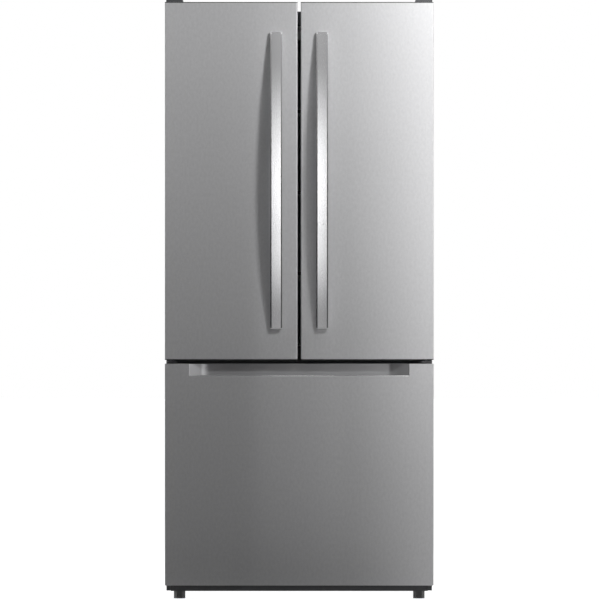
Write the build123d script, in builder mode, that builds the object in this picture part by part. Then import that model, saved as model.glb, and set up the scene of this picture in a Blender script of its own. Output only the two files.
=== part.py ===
from build123d import *
import os

# French door refrigerator: two doors over one freezer drawer.
# Millimetres. +Z is up, +X is to the right seen from the front, and the doors face -Y.
# The origin is on the floor, under the middle of the whole refrigerator.

# Outside of the refrigerator
door_span = 749.0
door_gap = 9.0
door_height = 997.5
door_thickness = 60.0
drawer_height = 618.0
drawer_bottom = 39.5
front_gap = 10.5
cabinet_inset = 3.0
cabinet_depth = 650.0
cabinet_drop = 23.5
gasket_gap = 13.0
handle_reach = 55.0
cover_bulge = 12.0
base_clearance = 21.5

# Sheets, walls and compartments
steel_sheet = 0.8
panel_bend = 3.0
liner_wall = 2.0
liner_corner = 10.0
liner_lip = 5.5
side_wall = 45.5
top_wall = 47.0
back_wall = 63.0
fresh_sill = 38.0
freezer_head = 31.5
freezer_sill = 52.5
pan_rise = 6.0
machine_depth = 250.0
machine_height = 205.0
step_wall = 30.0
rail_depth = 22.0
rail_sheet = 1.2

# Hinges
hinge_inset = 22.5
hinge_setback = 30.0
hinge_sheet = 3.0
pin_radius = 5.0
pin_engagement = 18.0
running_clearance = 0.05
edge_clearance = 0.5
hinge_clearance = 2.0

# Doors and drawer front
skin_return = 45.0
skin_bend = 3.0
cap_lip = 2.5
cap_spigot = 20.0
dike_depth = 48.0
dike_wall = 16.0
dike_margin = 10.0
dike_hinge_offset = 40.0
dike_free_offset = 41.5
pan_recess = 20.0
gasket_width = 16.0
gasket_clearance = 0.8
gasket_inset = 12.0
gasket_overhang = 4.0

# Handles and the drawer's pull
handle_offset = 59.5
handle_low = 86.5
handle_length = 827.0
handle_width = 33.0
handle_thickness = 14.0
pull_margin = 67.5
pull_height = 34.0
pull_depth = 28.0
pull_end = 72.0
pull_undercut = 20.0
pull_wall = 2.8

# Places that follow from the sizes above
total_depth = handle_reach + door_thickness + gasket_gap + cabinet_depth + cover_bulge
door_face = handle_reach - total_depth / 2
door_back = door_face + door_thickness
cabinet_front = door_back + gasket_gap
back_face = cabinet_front + cabinet_depth
cover_face = back_face + cover_bulge
half_span = door_span / 2
pull_half = half_span - pull_margin
half_gap = door_gap / 2
half_cabinet = half_span - cabinet_inset
drawer_top = drawer_bottom + drawer_height
door_bottom = drawer_top + front_gap
door_top = door_bottom + door_height
cabinet_top = door_top - cabinet_drop
cabinet_bottom = drawer_bottom + pan_rise
cavity_half = half_cabinet - side_wall
cavity_back = back_face - back_wall
liner_half = cavity_half - liner_wall
flange_edge = cavity_half + liner_lip
fresh_floor = door_bottom + fresh_sill
fresh_ceiling = cabinet_top - top_wall
freezer_floor = drawer_bottom + freezer_sill
freezer_ceiling = drawer_top - freezer_head
machine_front = back_face - machine_depth
machine_ceiling = cabinet_bottom + machine_height
step_front = machine_front - step_wall
step_top = machine_ceiling + step_wall
hinge_x = half_span - hinge_inset
hinge_y = door_face + hinge_setback
pin_bore = pin_radius + running_clearance
foam_front = cabinet_front + liner_wall
foam_half = half_cabinet - steel_sheet
foam_back = back_face - 2 * steel_sheet


def level(z):
    """Horizontal plane at a height."""
    return Plane.XY.offset(z)


def facing(y):
    """Upright plane at a depth, with X across and Z up, facing the front."""
    return Plane.XZ.offset(-y)


def sideways(x):
    """Upright plane at an X, with Y across and Z up, facing right."""
    return Plane.YZ.offset(x)


def span(low_x, high_x, low_y, high_y, mode=Mode.ADD):
    """Rectangle between two corners of the sketch's plane."""
    with Locations(((low_x + high_x) / 2, (low_y + high_y) / 2)):
        Rectangle(high_x - low_x, high_y - low_y, mode=mode)


def folded(points, bend, sheet, side):
    """Section of a sheet that is folded along the points, with one face on them."""
    with BuildSketch(mode=Mode.PRIVATE) as section:
        with BuildLine():
            FilletPolyline(*points, radius=bend)
            offset(amount=sheet, side=side)
        make_face()
    return section.sketch


def creased(points, sheet, side):
    """Section of a sheet with sharp folds along the points, with one face on them."""
    with BuildSketch(mode=Mode.PRIVATE) as section:
        with BuildLine():
            Polyline(*points)
            offset(amount=sheet, side=side, kind=Kind.INTERSECTION)
        make_face()
    return section.sketch


def cornered(width, length, corner):
    """Rectangle with its corners cut off."""
    with BuildSketch(mode=Mode.PRIVATE) as outline:
        Rectangle(width, length)
        chamfer(outline.vertices(), length=corner)
    return outline.sketch


def mirrored(piece):
    """The same piece on the other side of the refrigerator."""
    with BuildPart() as other:
        mirror(piece.part, about=Plane.YZ)
    return other


# Outer panels of the cabinet
rear_return = 12.0

with BuildPart() as right_side_panel:
    with BuildSketch(level(base_clearance + rail_sheet)):
        add(
            folded(
                [
                    (flange_edge, cabinet_front),
                    (half_cabinet, cabinet_front),
                    (half_cabinet, back_face - steel_sheet),
                    (half_cabinet - rear_return, back_face - steel_sheet),
                ],
                panel_bend,
                steel_sheet,
                Side.LEFT,
            )
        )
    extrude(amount=cabinet_top - steel_sheet - base_clearance - rail_sheet)

left_side_panel = mirrored(right_side_panel)

return_edge = half_cabinet - rear_return - panel_bend

with BuildPart() as top_panel:
    with BuildSketch(sideways(-half_cabinet)):
        add(
            folded(
                [
                    (cabinet_front, fresh_ceiling + liner_lip),
                    (cabinet_front, cabinet_top),
                    (back_face - steel_sheet, cabinet_top),
                    (back_face - steel_sheet, cabinet_top - rear_return),
                ],
                panel_bend,
                steel_sheet,
                Side.RIGHT,
            )
        )
    extrude(amount=2 * half_cabinet)
    with BuildSketch(facing(cabinet_front)):
        span(-half_cabinet, -flange_edge, fresh_ceiling, cabinet_top - steel_sheet)
        span(flange_edge, half_cabinet, fresh_ceiling, cabinet_top - steel_sheet)
    extrude(amount=-panel_bend, mode=Mode.SUBTRACT)
    with BuildSketch(facing(back_face)):
        span(-half_cabinet, -return_edge, fresh_ceiling, cabinet_top - steel_sheet)
        span(return_edge, half_cabinet, fresh_ceiling, cabinet_top - steel_sheet)
    extrude(amount=panel_bend + steel_sheet, mode=Mode.SUBTRACT)

bead_count = 4
bead_width = 18.0
bead_height = 1.6
bead_margin = 70.0

with BuildPart() as back_panel:
    bead_low = machine_ceiling + bead_margin
    bead_pitch = (cabinet_top - bead_margin - bead_low) / (bead_count - 1)
    with BuildSketch(facing(back_face)):
        span(-half_cabinet, half_cabinet, machine_ceiling, cabinet_top)
    extrude(amount=steel_sheet)
    with BuildSketch(facing(back_face)):
        with Locations((0, (bead_low + cabinet_top - bead_margin) / 2)):
            with GridLocations(0, bead_pitch, 1, bead_count):
                Rectangle(2 * (half_cabinet - bead_margin), bead_width)
    extrude(amount=-bead_height, taper=30)

# Liners: each cavity is the outside of its liner and is cut out of the insulation
with BuildPart() as fresh_cavity:
    with BuildSketch(facing(cabinet_front)):
        span(-cavity_half, cavity_half, fresh_floor, fresh_ceiling)
    extrude(amount=cabinet_front - cavity_back)
    chamfer(fresh_cavity.edges().filter_by(Axis.Y), length=liner_corner)


def freezer_space(inset):
    """Freezer compartment with the step over the machine compartment, less a wall."""
    with BuildPart(mode=Mode.PRIVATE) as space:
        with BuildSketch(sideways(inset - cavity_half)):
            with BuildLine():
                Polyline(
                    (cabinet_front, freezer_floor + inset),
                    (step_front - inset, freezer_floor + inset),
                    (step_front - inset, step_top + inset),
                    (cavity_back - inset, step_top + inset),
                    (cavity_back - inset, freezer_ceiling - inset),
                    (cabinet_front, freezer_ceiling - inset),
                    close=True,
                )
            make_face()
        extrude(amount=2 * (cavity_half - inset))
        corners = space.edges().filter_by(Axis.Y).group_by(Axis.Z)
        chamfer(corners[0] + corners[-1], length=liner_corner - inset / 2)
    return space.part


ledge_depth = 8.0
ledge_height = 6.0
ledge_front = 140.0
ledge_back = 36.0
ledge_low = 199.0
ledge_pitch = 76.0
ledge_count = 8
shelf_steps = (0, 3, 6)
ledge_tops = [fresh_floor + ledge_low + ledge_pitch * step for step in range(ledge_count)]
shelf_heights = [ledge_tops[step] for step in shelf_steps]

with BuildPart() as fresh_food_liner:
    add(fresh_cavity.part)
    offset(amount=-liner_wall, openings=fresh_food_liner.faces().sort_by(Axis.Y)[0])
    with BuildSketch(facing(cabinet_front)):
        span(-flange_edge, flange_edge, fresh_floor, fresh_ceiling + liner_lip)
        with Locations((0, (fresh_floor + fresh_ceiling) / 2)):
            add(
                cornered(2 * cavity_half, fresh_ceiling - fresh_floor, liner_corner),
                mode=Mode.SUBTRACT,
            )
    extrude(amount=-liner_wall)
    with BuildSketch(facing(cabinet_front + ledge_front)):
        for top in ledge_tops:
            span(-liner_half, ledge_depth - liner_half, top - ledge_height, top)
            span(liner_half - ledge_depth, liner_half, top - ledge_height, top)
    extrude(amount=cabinet_front + ledge_front - cavity_back + ledge_back)

with BuildPart() as freezer_liner:
    add(freezer_space(0))
    add(freezer_space(liner_wall), mode=Mode.SUBTRACT)
    with BuildSketch(facing(cabinet_front)):
        span(-flange_edge, flange_edge, freezer_floor, freezer_ceiling)
        with Locations((0, (freezer_floor + freezer_ceiling) / 2)):
            add(
                cornered(2 * cavity_half, freezer_ceiling - freezer_floor, liner_corner),
                mode=Mode.SUBTRACT,
            )
    extrude(amount=-liner_wall)

with BuildPart() as insulation:
    with BuildSketch(level(cabinet_bottom)):
        span(-foam_half, foam_half, foam_front, foam_back)
    extrude(amount=cabinet_top - steel_sheet - cabinet_bottom)
    foam_edges = insulation.faces().sort_by(Axis.Z)[-1].edges().filter_by(Axis.X)
    chamfer(insulation.edges().filter_by(Axis.Z) + foam_edges, length=panel_bend)
    add(fresh_cavity.part, mode=Mode.SUBTRACT)
    add(freezer_space(0), mode=Mode.SUBTRACT)
    with BuildSketch(level(cabinet_bottom)):
        span(-foam_half, foam_half, machine_front, back_face)
    extrude(amount=machine_height, mode=Mode.SUBTRACT)
    with BuildSketch(facing(cabinet_front)):
        span(-flange_edge, flange_edge, freezer_ceiling, fresh_floor)
        span(-flange_edge, flange_edge, cabinet_bottom, freezer_floor)
    extrude(amount=-rail_depth, mode=Mode.SUBTRACT)

# Cross members at the front
strip_proud = 3.0
strip_return = 8.0
strip_margin = 12.5

with BuildPart() as mid_rail:
    with BuildSketch(sideways(-flange_edge)):
        add(
            folded(
                [
                    (cabinet_front + rail_depth, freezer_ceiling),
                    (cabinet_front, freezer_ceiling),
                    (cabinet_front, fresh_floor),
                    (cabinet_front + rail_depth, fresh_floor),
                ],
                panel_bend,
                rail_sheet,
                Side.RIGHT,
            )
        )
    extrude(amount=2 * flange_edge)

with BuildPart() as base_rail:
    with BuildSketch(sideways(-flange_edge)):
        add(
            creased(
                [
                    (cabinet_front + rail_depth, freezer_floor),
                    (cabinet_front, freezer_floor),
                    (cabinet_front, cabinet_bottom),
                    (cabinet_front + rail_depth, cabinet_bottom),
                ],
                rail_sheet,
                Side.LEFT,
            )
        )
    extrude(amount=2 * flange_edge)
    with BuildSketch(sideways(strip_margin - half_cabinet)):
        add(
            creased(
                [
                    (cabinet_front, drawer_bottom),
                    (cabinet_front - strip_proud, drawer_bottom),
                    (cabinet_front - strip_proud, base_clearance),
                    (cabinet_front + strip_return, base_clearance),
                ],
                rail_sheet,
                Side.LEFT,
            )
        )
    extrude(amount=2 * (half_cabinet - strip_margin))
    with BuildSketch(facing(cabinet_front - strip_proud + rail_sheet)):
        span(-flange_edge, flange_edge, drawer_bottom - rail_sheet, cabinet_bottom + panel_bend)
    extrude(amount=-strip_proud)

# Base pan with the brackets for the feet and rear rollers
pan_sheet = 1.5
foot_inset = 36.5
foot_x = half_cabinet - foot_inset
foot_setback = 32.0
foot_radius = 16.0
foot_stem_radius = 5.0
foot_gap = 0.5
foot_bracket_half = 22.0
roller_inset = 41.5
roller_x = half_cabinet - roller_inset
roller_radius = 20.0
roller_sides = 24
roller_width = 22.0
roller_from_back = 55.0
axle_radius = 4.0
ear_sheet = 2.5
ear_half = 14.0
ear_gap = 0.5
foot_y = cabinet_front + foot_setback
roller_y = back_face - roller_from_back
plate_bottom = cabinet_bottom - pan_sheet
stem_bore = foot_stem_radius + running_clearance
axle_bore = axle_radius + running_clearance
ear_reach = roller_width / 2 + ear_gap

with BuildPart() as base_pan:
    with BuildSketch(level(plate_bottom)):
        with Locations((0, (foam_front + foam_back) / 2)):
            add(cornered(2 * foam_half, foam_back - foam_front, panel_bend))
    extrude(amount=pan_sheet)
    with BuildSketch(level(base_clearance)):
        with Locations((-foot_x, foot_y), (foot_x, foot_y)):
            Rectangle(2 * foot_bracket_half, 2 * foot_bracket_half)
            Circle(stem_bore, mode=Mode.SUBTRACT)
    extrude(amount=plate_bottom - base_clearance)
    for centre in (-roller_x, roller_x):
        for ear_x in (centre - ear_reach - ear_sheet, centre + ear_reach):
            with BuildSketch(sideways(ear_x)):
                with BuildLine():
                    Polyline(
                        (roller_y - ear_half, plate_bottom),
                        (roller_y - ear_half, roller_radius),
                        (roller_y - ear_half / 2, roller_radius - ear_half),
                        (roller_y + ear_half / 2, roller_radius - ear_half),
                        (roller_y + ear_half, roller_radius),
                        (roller_y + ear_half, plate_bottom),
                        close=True,
                    )
                make_face()
            extrude(amount=ear_sheet)
        with BuildSketch(sideways(centre - ear_reach - ear_sheet)):
            with Locations((roller_y, roller_radius)):
                Circle(axle_radius)
        extrude(amount=2 * (ear_reach + ear_sheet))


def levelling_foot(x):
    """Front foot with a hexagon for the wrench and its stem in the base pan's bracket."""
    with BuildPart() as foot:
        with BuildSketch(level(0)):
            with Locations((x, foot_y)):
                RegularPolygon(foot_radius, 6)
        extrude(amount=base_clearance - foot_gap)
        with BuildSketch(level(base_clearance - foot_gap)):
            with Locations((x, foot_y)):
                Circle(foot_stem_radius)
        extrude(amount=plate_bottom - base_clearance)
    return foot


def rear_roller(x):
    """Transport roller with its bore on the fixed axle."""
    with BuildPart() as roller:
        with BuildSketch(sideways(x - roller_width / 2)):
            with Locations((roller_y, roller_radius)):
                RegularPolygon(roller_radius, roller_sides)
                Circle(axle_bore, mode=Mode.SUBTRACT)
        extrude(amount=roller_width)
    return roller


left_foot = levelling_foot(-foot_x)
right_foot = levelling_foot(foot_x)
left_roller = rear_roller(-roller_x)
right_roller = rear_roller(roller_x)

# Machine compartment behind the freezer's floor step
compressor_inset = 181.5
compressor_x = compressor_inset - half_cabinet
compressor_radius = 68.0
compressor_height = 150.0
compressor_dome = 34.0
grommet_radius = 11.0
grommet_height = 12.0
mount_sheet = 3.0
machine_y = (machine_front + back_face) / 2

shell_low = cabinet_bottom + grommet_height + mount_sheet
compressor_sides = 16
mount_ratio = 1.6
mount_depth = mount_ratio * compressor_radius

with BuildPart() as compressor_shell:
    with BuildSketch(level(shell_low)):
        with Locations((compressor_x, machine_y)):
            RegularPolygon(compressor_radius, compressor_sides)
    extrude(amount=compressor_height)
    chamfer(compressor_shell.faces().sort_by(Axis.Z)[-1].edges(), length=compressor_dome)

with BuildPart() as compressor:
    with BuildSketch(level(cabinet_bottom)):
        with Locations((compressor_x, machine_y)):
            with GridLocations(2 * compressor_radius, mount_depth, 2, 2):
                RegularPolygon(grommet_radius - mount_sheet, 6)
    extrude(amount=grommet_height)
    with BuildSketch(level(cabinet_bottom + grommet_height)):
        with Locations((compressor_x, machine_y)):
            Rectangle(2 * (compressor_radius + grommet_radius), mount_depth + 2 * grommet_radius)
    extrude(amount=mount_sheet)
    add(compressor_shell.part)
    with BuildSketch(level(shell_low + mount_sheet)):
        with Locations((compressor_x - compressor_radius, machine_y)):
            Rectangle(compressor_radius / 2, mount_depth / 2)
    extrude(amount=compressor_height / 3)

condenser_inset = 196.5
condenser_x = half_cabinet - condenser_inset
condenser_width = 190.0
condenser_depth = 150.0
condenser_height = 120.0
fin_pitch = 24.0
fin_core = 0.3
fin_sheet = 1.2
header_radius = 7.0
drain_height = 34.0
drain_margin = 24.0
drain_wall = 2.5
condenser_low = cabinet_bottom + drain_height + header_radius


def fin_pack(centre_x, low_y, high_y, low_z, high_z, width, count, runs):
    """Finned tube pack: comb of fins on a core, end plates and header tubes at both ends."""
    core = fin_core * (high_y - low_y)
    pitch = width / count
    with BuildPart() as pack:
        with BuildSketch(level(low_z)):
            middle = (low_y + high_y) / 2
            span(centre_x - width / 2, centre_x + width / 2, middle - core / 2, middle + core / 2)
            with Locations((centre_x, middle)):
                with GridLocations(pitch, 0, count + 1, 1):
                    Rectangle(fin_sheet, high_y - low_y)
        extrude(amount=high_z - low_z)
        rise = (high_z - low_z) / runs
        for side in (-1, 1):
            with BuildSketch(level(low_z)):
                with Locations((centre_x + side * (width / 2 + header_radius), middle)):
                    RegularPolygon(header_radius, 8)
            extrude(amount=rise * (runs - 1))
    return pack


condenser_coil = fin_pack(
    condenser_x,
    machine_y - condenser_depth / 2,
    machine_y + condenser_depth / 2,
    condenser_low,
    condenser_low + condenser_height,
    condenser_width,
    int(condenser_width / fin_pitch),
    5,
)

with BuildPart() as drain_pan:
    with BuildSketch(level(cabinet_bottom)):
        with Locations((condenser_x, machine_y)):
            Rectangle(condenser_width + 2 * drain_margin, condenser_depth + drain_margin)
    extrude(amount=drain_height)
    offset(amount=-drain_wall, openings=drain_pan.faces().sort_by(Axis.Z)[-1])
    with BuildSketch(level(cabinet_bottom + drain_wall)):
        with Locations((condenser_x, machine_y)):
            with GridLocations(condenser_width, 0, 2, 1):
                Rectangle(drain_margin / 2, condenser_depth / 2)
    extrude(amount=condenser_low - cabinet_bottom - drain_wall)

# Fans, each on a motor whose shaft runs in the hub
fan_x = -20.0
fan_radius = 55.0
fan_height = 118.0
fan_hub = 16.0
fan_hub_length = 16.0
blade_count = 5
blade_chord = 26.0
blade_sheet = 2.0
blade_pitch_angle = 38.0
shaft_radius = 2.5
shaft_bore = shaft_radius + running_clearance
motor_radius = 24.0
motor_length = 30.0
motor_gap = 2.0
motor_leg = 14.0
cold_fan_radius = 46.0
cold_fan_drop = 78.0
cold_fan_setback = 52.0
cold_fan_y = cavity_back - liner_wall - cold_fan_setback
cold_fan_z = freezer_ceiling - cold_fan_drop
fan_z = cabinet_bottom + fan_height


def fan_rotor(plane, radius):
    """Axial fan: bored hub and pitched blades, turning about the plane's normal."""
    blade_length = radius - fan_hub + blade_sheet
    with BuildPart(plane) as rotor:
        with BuildSketch(plane.offset(-fan_hub_length / 2)):
            RegularPolygon(fan_hub, 2 * blade_count)
        extrude(amount=fan_hub_length)
        with PolarLocations(radius - blade_length / 2, blade_count):
            Box(blade_length, blade_sheet, blade_chord, rotation=(90 - blade_pitch_angle, 0, 0))
        Cylinder(shaft_bore, fan_hub_length, mode=Mode.SUBTRACT)
    return rotor


warm_fan_plane = Plane(origin=(fan_x, machine_y, fan_z), x_dir=(0, 1, 0), z_dir=(1, 0, 0))
cold_fan_plane = Plane(origin=(0, cold_fan_y, cold_fan_z), x_dir=(1, 0, 0), z_dir=(0, -1, 0))
condenser_fan = fan_rotor(warm_fan_plane, fan_radius)
evaporator_fan = fan_rotor(cold_fan_plane, cold_fan_radius)
motor_face = blade_chord / 2 + motor_gap

with BuildPart() as fan_motors:
    for plane in (warm_fan_plane, cold_fan_plane):
        with BuildSketch(plane.offset(-motor_face)):
            Rectangle(2 * motor_radius, 2 * motor_radius)
        extrude(amount=-motor_length)
        with BuildSketch(plane.offset(-motor_face)):
            Circle(shaft_radius)
        extrude(amount=motor_face + fan_hub_length / 2)
    with BuildSketch(warm_fan_plane.offset(-motor_face - motor_length)):
        with Locations((0, (cabinet_bottom - fan_z) / 2)):
            Rectangle(motor_radius, fan_z - cabinet_bottom)
    extrude(amount=motor_leg)
    with BuildSketch(cold_fan_plane.offset(-motor_face - motor_length)):
        Rectangle(motor_leg, 4 * motor_radius)
    extrude(amount=motor_face + motor_length + cold_fan_y - cavity_back + liner_wall)

# Vented cover of the machine compartment and the gland for the supply lead
cover_sheet = 1.2
cover_overlap = 8.0
cover_side = 16.0
cover_corner = 10.0
vent_width = 6.0
vent_height = 130.0
vent_pitch = 34.0
vent_count = 7
vent_group_gap = 330.0
gland_radius = 9.0
gland_flange = 13.0
gland_bore = 4.5
gland_depth = 14.0
gland_in = 40.0
cover_low = cabinet_bottom - pan_sheet
cover_high = machine_ceiling + cover_overlap
cover_half = half_cabinet - cover_side
gland_x = gland_in - cover_half
gland_z = cover_low + gland_in

with BuildPart() as rear_cover:
    with BuildSketch(facing(back_face)):
        with Locations((0, (cover_low + cover_high) / 2)):
            add(cornered(2 * cover_half, cover_high - cover_low, cover_corner))
    extrude(amount=-cover_bulge)
    offset(amount=-cover_sheet, openings=rear_cover.faces().sort_by(Axis.Y)[0])
    with BuildSketch(facing(cover_face)):
        with Locations((0, (cover_low + cover_high) / 2)):
            with GridLocations(vent_group_gap, 0, 2, 1):
                with GridLocations(vent_pitch, 0, vent_count, 1):
                    Rectangle(vent_width, vent_height)
        with Locations((gland_x, gland_z)):
            RegularPolygon(gland_radius, 6)
    extrude(amount=cover_sheet, mode=Mode.SUBTRACT)

with BuildPart() as power_gland:
    with BuildSketch(facing(cover_face)):
        with Locations((gland_x, gland_z)):
            RegularPolygon(gland_radius, 6)
    extrude(amount=gland_depth)
    with BuildSketch(facing(cover_face - cover_sheet)):
        with Locations((gland_x, gland_z)):
            RegularPolygon(gland_flange, 6)
    extrude(amount=gland_depth / 3)
    with BuildSketch(facing(cover_face)):
        with Locations((gland_x, gland_z)):
            Circle(gland_bore)
    extrude(amount=gland_depth, mode=Mode.SUBTRACT)

# Hinges: stepped brackets over the doors, flat ones in the gap above the drawer
top_arm_gap = 1.5
top_hinge_half = 19.5
top_hinge_rear = 70.0
top_hinge_nose = 16.0
top_step = 5.0
cover_nose = 20.0
cover_rear = 82.0
cover_gap = 0.8
cover_rise = 9.5
cover_wall = 1.5
cover_edge = 3.0
cover_reach = 28.0
cover_skirt = 9.0
bracket_shift = 4.5
cover_outer = half_cabinet - edge_clearance
cover_inner = hinge_x - cover_reach
top_arm = door_top + top_arm_gap
bracket_x = hinge_x - bracket_shift

with BuildPart() as top_hinges:
    with BuildSketch(sideways(bracket_x - top_hinge_half)):
        add(
            creased(
                [
                    (cabinet_front + top_hinge_rear, cabinet_top),
                    (cabinet_front + top_step, cabinet_top),
                    (cabinet_front + top_step, top_arm),
                    (hinge_y - top_hinge_nose, top_arm),
                ],
                hinge_sheet,
                Side.RIGHT,
            )
        )
    extrude(amount=2 * top_hinge_half)
    chamfer(top_hinges.faces().sort_by(Axis.Y)[0].edges().filter_by(Axis.Z), length=top_hinge_nose / 2)
    with BuildSketch(level(top_arm)):
        with Locations((hinge_x, hinge_y)):
            Circle(pin_radius)
    extrude(amount=-top_arm_gap - pin_engagement)
    mirror(about=Plane.YZ)

with BuildPart() as hinge_covers:
    front_y = hinge_y - cover_nose
    step_y = cabinet_front + top_step - cover_wall - edge_clearance
    rear_y = cabinet_front + cover_rear
    lid_z = door_top + cover_rise
    nose_z = door_top + cover_gap
    with BuildSketch(sideways(cover_inner)):
        with BuildLine():
            Polyline(
                (front_y, nose_z),
                (front_y, lid_z),
                (rear_y, lid_z),
                (rear_y, cabinet_top),
                (step_y, cabinet_top),
                (step_y, nose_z),
                close=True,
            )
        make_face()
    extrude(amount=cover_outer - cover_inner)
    chamfer(hinge_covers.faces().sort_by(Axis.Z)[-1].edges(), length=cover_edge)
    with BuildSketch(sideways(cover_inner + cover_wall)):
        with BuildLine():
            Polyline(
                (front_y + cover_wall, nose_z - cover_skirt),
                (front_y + cover_wall, lid_z - cover_wall),
                (rear_y - cover_wall, lid_z - cover_wall),
                (rear_y - cover_wall, cabinet_top),
                (step_y + cover_wall, cabinet_top),
                (step_y + cover_wall, nose_z - cover_skirt),
                close=True,
            )
        make_face()
    extrude(amount=cover_outer - cover_inner - 2 * cover_wall, mode=Mode.SUBTRACT)
    mirror(about=Plane.YZ)

mid_arm_gap = 3.5
mid_nose = 15.0
mid_inner = 18.0
mid_flange_drop = 48.0
mid_flange_in = 1.5
mid_arm = drawer_top + mid_arm_gap
mid_outer = half_cabinet - edge_clearance
gasket_edge = hinge_x - hinge_clearance

with BuildPart() as mid_hinges:
    with BuildSketch(level(mid_arm)) as arm:
        span(hinge_x - mid_inner, mid_outer, hinge_y - mid_nose, cabinet_front)
        chamfer(arm.vertices().group_by(Axis.Y)[0], length=mid_nose / 2)
    extrude(amount=hinge_sheet)
    with BuildSketch(facing(cabinet_front)):
        span(gasket_edge + mid_flange_in, mid_outer, mid_arm - mid_flange_drop, mid_arm)
    extrude(amount=hinge_sheet)
    with BuildSketch(level(mid_arm)):
        with Locations((hinge_x, hinge_y)):
            Circle(pin_radius)
    extrude(amount=front_gap - mid_arm_gap + pin_engagement)
    mirror(about=Plane.YZ)

# Shelves: panes lying in moulded frames on the liner's ledges
shelf_setback = 130.0
shelf_rear = 30.0
shelf_clearance = 1.0
frame_height = 10.0
frame_bar = 14.0
frame_rim = 5.0
pane_thickness = 4.0
trim_drop = 8.0
beam_drop = 19.0
slider_lift = 2.0
trim_depth = 10.0
shelf_front = cabinet_front + shelf_setback
shelf_back = cavity_back - shelf_rear
frame_half = liner_half - shelf_clearance
pane_half = frame_half - frame_rim

slider_x = 120.0
slider_width = 24.0
slider_height = 9.0
slider_travel = 40.0
slider_depth = 2.5
slider_proud = 4.0
slider_gap = 0.4
slider_z = shelf_heights[0] - beam_drop / 2 + slider_lift

with BuildPart() as shelf_frames:
    for height in shelf_heights:
        drop = beam_drop if height == shelf_heights[0] else trim_drop
        with BuildSketch(level(height)):
            span(-frame_half, frame_half, shelf_front, shelf_back)
            span(
                frame_bar - frame_half,
                frame_half - frame_bar,
                shelf_front + frame_bar,
                shelf_back - frame_bar,
                mode=Mode.SUBTRACT,
            )
        extrude(amount=frame_height)
        with BuildSketch(level(height + frame_height)):
            span(-pane_half, pane_half, shelf_front + frame_rim, shelf_back - frame_rim)
        extrude(amount=-pane_thickness, mode=Mode.SUBTRACT)
        trim_half = frame_half - ledge_depth - shelf_clearance
        with BuildSketch(level(height)):
            span(-trim_half, trim_half, shelf_front, shelf_front + trim_depth)
        extrude(amount=-drop)
    for left in (-slider_x - slider_travel, slider_x):
        with BuildSketch(facing(shelf_front)):
            span(
                left - slider_width / 2 - slider_gap,
                left + slider_width / 2 + slider_travel + slider_gap,
                slider_z - slider_height / 2 - slider_gap,
                slider_z + slider_height / 2 + slider_gap,
            )
        extrude(amount=-slider_depth - slider_gap, mode=Mode.SUBTRACT)

with BuildPart() as shelf_panes:
    for height in shelf_heights:
        with BuildSketch(level(height + frame_height - pane_thickness)):
            span(-pane_half, pane_half, shelf_front + frame_rim, shelf_back - frame_rim)
        extrude(amount=pane_thickness)


def humidity_slider(x):
    """Vent slider with a raised thumb rib, in its slot on the crisper beam."""
    with BuildPart() as slider:
        with BuildSketch(facing(shelf_front + slider_depth)):
            with Locations((x, slider_z)):
                Rectangle(slider_width, slider_height)
        extrude(amount=slider_depth + slider_proud / 2)
        with BuildSketch(facing(shelf_front - slider_proud / 2)):
            with Locations((x, slider_z)):
                Rectangle(slider_width / 4, slider_height)
        extrude(amount=slider_proud / 2)
    return slider


left_humidity_slider = humidity_slider(-slider_x - slider_travel)
right_humidity_slider = humidity_slider(slider_x)

# Crisper drawers under the lowest shelf
crisper_inner = 6.0
crisper_outer = 16.0
crisper_wall = 2.5
crisper_corner = 10.0
crisper_setback = 148.0
crisper_rear = 75.0
crisper_gap = 1.0
crisper_headroom = 2.0
crisper_grip = 8.0
crisper_grip_height = 16.0
crisper_low = fresh_floor + liner_wall + crisper_gap
crisper_high = shelf_heights[0] - beam_drop - crisper_headroom
crisper_front = cabinet_front + crisper_setback
crisper_back = cavity_back - crisper_rear

with BuildPart() as right_crisper:
    crisper_width = liner_half - crisper_outer - crisper_inner
    crisper_middle = crisper_inner + crisper_width / 2
    with BuildSketch(level(crisper_low)):
        with Locations((crisper_middle, (crisper_front + crisper_back) / 2)):
            add(cornered(crisper_width, crisper_back - crisper_front, crisper_corner))
    extrude(amount=crisper_high - crisper_low)
    with BuildSketch(level(crisper_low + crisper_wall)):
        with Locations((crisper_middle, (crisper_front + crisper_back) / 2)):
            add(
                cornered(
                    crisper_width - 2 * crisper_wall,
                    crisper_back - crisper_front - 2 * crisper_wall,
                    crisper_corner - crisper_wall / 2,
                )
            )
    extrude(amount=crisper_high - crisper_low, mode=Mode.SUBTRACT)
    with BuildSketch(sideways(crisper_inner + crisper_corner)):
        add(
            folded(
                [
                    (crisper_front + crisper_wall, crisper_high),
                    (crisper_front - crisper_grip, crisper_high),
                    (crisper_front - crisper_grip, crisper_high - crisper_grip_height),
                ],
                2 * crisper_wall,
                crisper_wall,
                Side.LEFT,
            )
        )
    extrude(amount=crisper_width - 2 * crisper_corner)

left_crisper = mirrored(right_crisper)

# Air duct, lamp and control panel of the fresh food compartment
duct_half = 95.0
duct_slot_spread = 76.0
duct_depth = 26.0
duct_slope = 14.0
duct_wall = 2.5
duct_low = 232.0
duct_high = 40.0
duct_slot_width = 56.0
duct_slot_height = 8.0
duct_slot_rows = 5
duct_slot_pitch = 116.0
liner_back = cavity_back - liner_wall
liner_top = fresh_ceiling - liner_wall

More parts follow.
